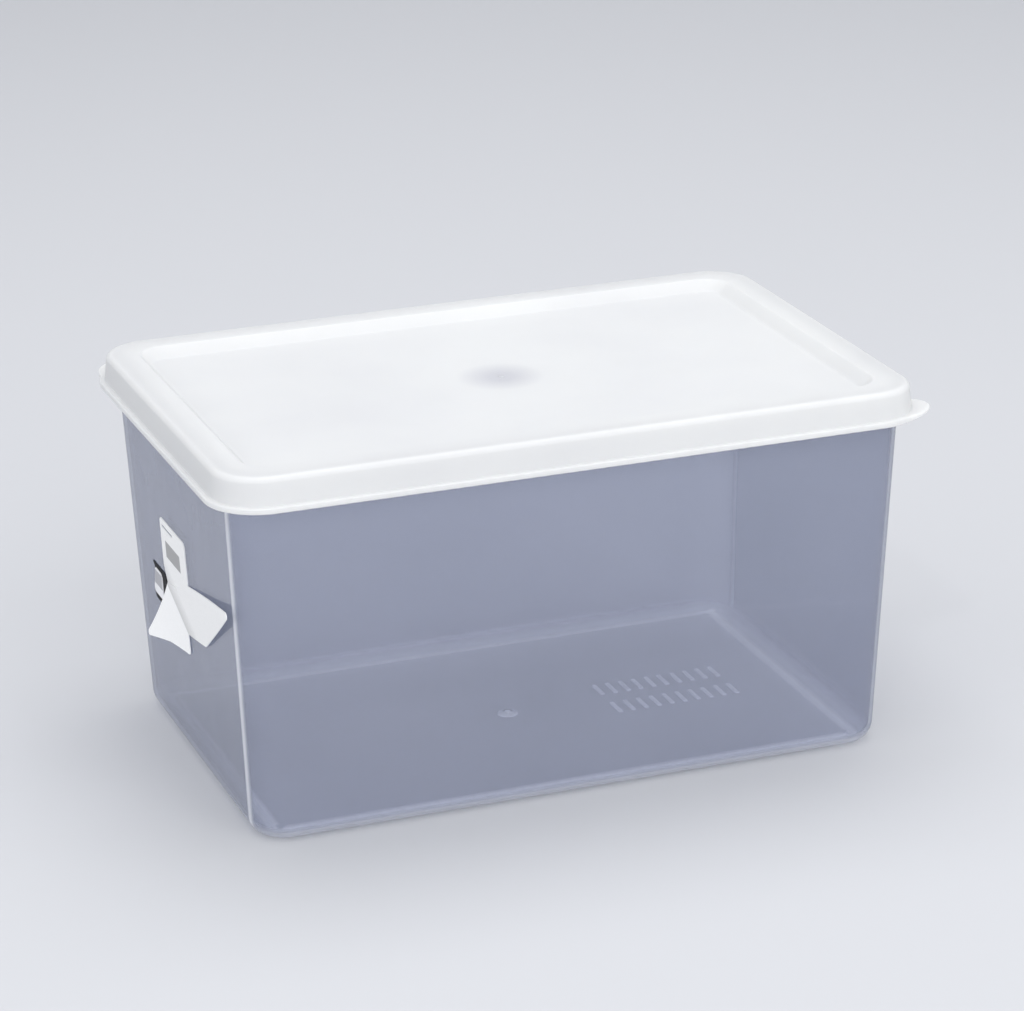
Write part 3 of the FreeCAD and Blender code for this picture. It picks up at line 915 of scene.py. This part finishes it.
# the tag's paper carries painted shade in its fold
tag_paper = paper_material("tag_paper", (0.94, 0.94, 0.93), 0.75, header_field, header_grey, paint_fold_shade=True)
sticker_black = paper_material("sticker_black", (0.012, 0.012, 0.014), 0.6)
sticker_white = paper_material("sticker_white", (0.85, 0.85, 0.86), 0.4, sticker_field, sticker_grey)
for node, finish in (("paper_tag", tag_paper), ("sticker_backing", sticker_black),
                     ("sticker_face", sticker_white)):
    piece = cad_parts[node]
    piece.data.materials.clear()
    piece.data.materials.append(finish)
    print(node, "is finished with", finish.name)

# %% [markdown]
# ## Raised bars on the floor
#
# A patch of the floor carries short plain bars that stand half a millimetre proud. They repeat at an even
# pitch, so a small tree lays one rounded bar at every point of a grid, and its spacing can be changed.

# %% Bars tree
def bars_tree():
    sockets = (("Bar", "Geometry"), ("Columns", "Int"), ("Rows", "Int"), ("Pitch", "Float"),
               ("Row Pitch", "Float"), ("Middle", "Vector"), ("Material", "Material"))
    tree = new_tree("bar_rows", sockets, "Bars")
    source = add_node(tree, "NodeGroupInput", (-900, 0))
    grid = add_node(tree, "GeometryNodeMeshGrid", (-400, 200))
    for count, pitch, vertices, size, drop in (("Columns", "Pitch", "Vertices X", "Size X", 300),
                                               ("Rows", "Row Pitch", "Vertices Y", "Size Y", 0)):
        gaps = math_step(tree, (-720, drop), "SUBTRACT", source.outputs[count], 1.0)
        span = math_step(tree, (-560, drop), "MULTIPLY", gaps, source.outputs[pitch])
        feed(tree, grid.inputs[size], span)
        feed(tree, grid.inputs[vertices], source.outputs[count])
    laid = add_node(tree, "GeometryNodeInstanceOnPoints", (-200, 100))
    moved = add_node(tree, "GeometryNodeTransform", (0, 100))
    feed(tree, laid.inputs["Points"], grid.outputs["Mesh"])
    feed(tree, laid.inputs["Instance"], source.outputs["Bar"])
    feed(tree, moved.inputs["Geometry"], laid.outputs["Instances"])
    feed(tree, moved.inputs["Translation"], source.outputs["Middle"])
    finish_tree(tree, source, moved.outputs["Geometry"], "Bars", (200, 100))
    return tree


bar_rows_tree = bars_tree()
print("bars tree has", len(bar_rows_tree.nodes), "nodes")

# %% Bars
bar_length = 0.013
bar_width = 0.0024
bar_height = 0.0005
bar_bevel = 0.0002
bar_columns = 10
bar_rows = 2
bar_pitch = 0.007
bar_row_pitch = 0.024
bar_middle = (0.084, -0.002, floor_top)
# raised marks get more veil for their solid plastic, and a painted glint on top of it
raised_veil_and_glint = 0.9


def one_bar():
    """Small rounded bar whose lower half is sunk into the floor."""
    mesh = bpy.data.meshes.new("bar")
    body = bmesh.new()
    bmesh.ops.create_cube(body, size=1.0)
    bmesh.ops.scale(body, vec=(bar_width, bar_length, 2 * bar_height), verts=body.verts)
    bmesh.ops.bevel(body, geom=body.edges, offset=bar_bevel, segments=2, affect="EDGES")
    body.to_mesh(mesh)
    body.free()
    return placed("bar", mesh)


floor_bars = made_by(bar_rows_tree, one_bar(), "floor_bars",
                     {"Columns": bar_columns, "Rows": bar_rows, "Pitch": bar_pitch,
                      "Row Pitch": bar_row_pitch, "Middle": bar_middle, "Material": clear_plastic})
print("bars:", len(floor_bars.data.polygons), "faces")
mark_veil_and_highlight(floor_bars, lambda point: raised_veil_and_glint)
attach(floor_bars, "box")
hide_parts("container")

# %% [markdown]
# ## Gate marks
#
# Plastic enters each mould at the middle and leaves a low round mark. On the floor it is a boss with a pip,
# and on the lid a pip alone. Both are small turned forms, so a short section is turned round the upright
# axis, and its foot is sunk a little so that no gap shows.

# %% Gate marks
turn_steps = 32
floor_gate_section = [(0, -0.0004), (0.0056, -0.0004), (0.0050, 0.0004), (0.0046, 0.0006),
                      (0.0016, 0.0006), (0.0015, 0.0012), (0.0012, 0.0014), (0, 0.0014)]
lid_gate_section = [(0, -0.0004), (0.0018, -0.0004), (0.0016, 0.0002), (0.0012, 0.0004), (0, 0.0004)]


def turned(name, section, level):
    """Closed turned form from a section of (radius, height above a level), which ends on the axis."""
    mesh = bpy.data.meshes.new(name)
    form = bmesh.new()
    rows = []
    for radius, height in section:
        if radius == 0:
            rows.append([form.verts.new((0, 0, level + height))] * turn_steps)
            continue
        rows.append([form.verts.new((radius * math.cos(2 * math.pi * step / turn_steps),
                                     radius * math.sin(2 * math.pi * step / turn_steps), level + height))
                     for step in range(turn_steps)])
    for lower, upper in zip(rows, rows[1:]):
        for step in range(turn_steps):
            following = (step + 1) % turn_steps
            corners = []
            for vertex in (lower[step], lower[following], upper[following], upper[step]):
                if vertex not in corners:
                    corners.append(vertex)
            form.faces.new(corners)
    bmesh.ops.recalc_face_normals(form, faces=form.faces)
    for face in form.faces:
        face.smooth = True
    form.to_mesh(mesh)
    form.free()
    print(name, len(mesh.polygons), "faces")
    return placed(name, mesh)


floor_gate = turned("floor_gate", floor_gate_section, floor_top)
floor_gate.data.materials.append(clear_plastic)
# the floor's gate mark is paler too: thicker plastic with a painted glint
mark_veil_and_highlight(floor_gate, lambda point: raised_veil_and_glint)
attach(floor_gate, "box")
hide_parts("container")
lid_gate = turned("lid_gate", lid_gate_section, panel_top)
lid_gate.data.materials.append(lid_plastic)
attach(lid_gate, "lid")
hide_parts("lid")

# %% [markdown]
# ## Studio
#
# A plain pale sheet runs under the box and curves up behind it, so that no edge shows where floor and wall
# meet. A broad soft lamp hangs above the box and another in front of it, a low wide one fills from the front,
# and one at the left side lights the end wall with its paper tag. A small one draws crisp glints on the
# moulded edges. The room adds an even, slightly cool light.

# %% Floor and backdrop
sheet_front = -4.0
sheet_back = 2.0
sheet_bend = 1.2
sheet_steps = 12
sheet_top = 5.0
sheet_half_width = 6.0
sheet_colour = (0.55, 0.555, 0.57, 1)
sheet_roughness = 0.9
sheet_gloss = 0.1


def sweep_sheet():
    """Floor that curves up into a backdrop."""
    mesh = bpy.data.meshes.new("backdrop")
    profile = [(sheet_front, 0.0), (sheet_back, 0.0)]
    for step in range(1, sheet_steps + 1):
        turn = math.pi / 2 * step / sheet_steps
        profile.append((sheet_back + sheet_bend * math.sin(turn), sheet_bend - sheet_bend * math.cos(turn)))
    profile.append((sheet_back + sheet_bend, sheet_top))
    points = [(x, y, z) for y, z in profile for x in (-sheet_half_width, sheet_half_width)]
    faces = [(2 * row, 2 * row + 1, 2 * row + 3, 2 * row + 2) for row in range(len(profile) - 1)]
    mesh.from_pydata(points, [], faces)
    for face in mesh.polygons:
        face.use_smooth = True
    return placed("backdrop", mesh)


def sheet_material():
    material = new_material("backdrop", sheet_colour)
    tree = material.node_tree
    shader = add_node(tree, "ShaderNodeBsdfPrincipled", (0, 0))
    shader.inputs["Base Color"].default_value = sheet_colour
    shader.inputs["Roughness"].default_value = sheet_roughness
    shader.inputs["Specular IOR Level"].default_value = sheet_gloss
    show(tree, (300, 0), shader.outputs["BSDF"])
    return material


backdrop = sweep_sheet()
backdrop.data.materials.append(sheet_material())
print("backdrop has", len(backdrop.data.polygons), "faces")

# %% Lamps
lamp_target = Vector((0, 0, 0.1))
lamps = (("key", (0.2, 0.5, 2.2), 1.6, 1.6, 20.5),
         ("front_key", (0.2, -2.0, 1.6), 1.6, 1.6, 18.5),
         ("fill", (0.6, -2.5, 0.35), 1.4, 0.6, 8),
         ("left_side", (-2.2, -0.2, 0.8), 0.8, 0.8, 7),
         ("spark", (-0.9, -1.7, 1.9), 0.1, 0.1, 4))
for name, place, width, height, power in lamps:
    data = bpy.data.lights.new(name, "AREA")
    data.shape = "RECTANGLE"
    data.size = width
    data.size_y = height
    data.energy = power
    aim = (lamp_target - Vector(place)).to_track_quat("-Z", "Y").to_matrix().to_4x4()
    placed(name, data).matrix_world = Matrix.Translation(place) @ aim
    print("lamp", name, power, "W")

# %% Room light
room_colour = (0.93, 0.95, 1.0, 1)
room_strength = 0.95
world = bpy.data.worlds.new("room")
world.use_nodes = True
background = world.node_tree.nodes["Background"]
background.inputs["Color"].default_value = room_colour
background.inputs["Strength"].default_value = room_strength
bpy.context.scene.world = world
bpy.context.scene.view_settings.view_transform = "Standard"
print("room light has strength", room_strength)
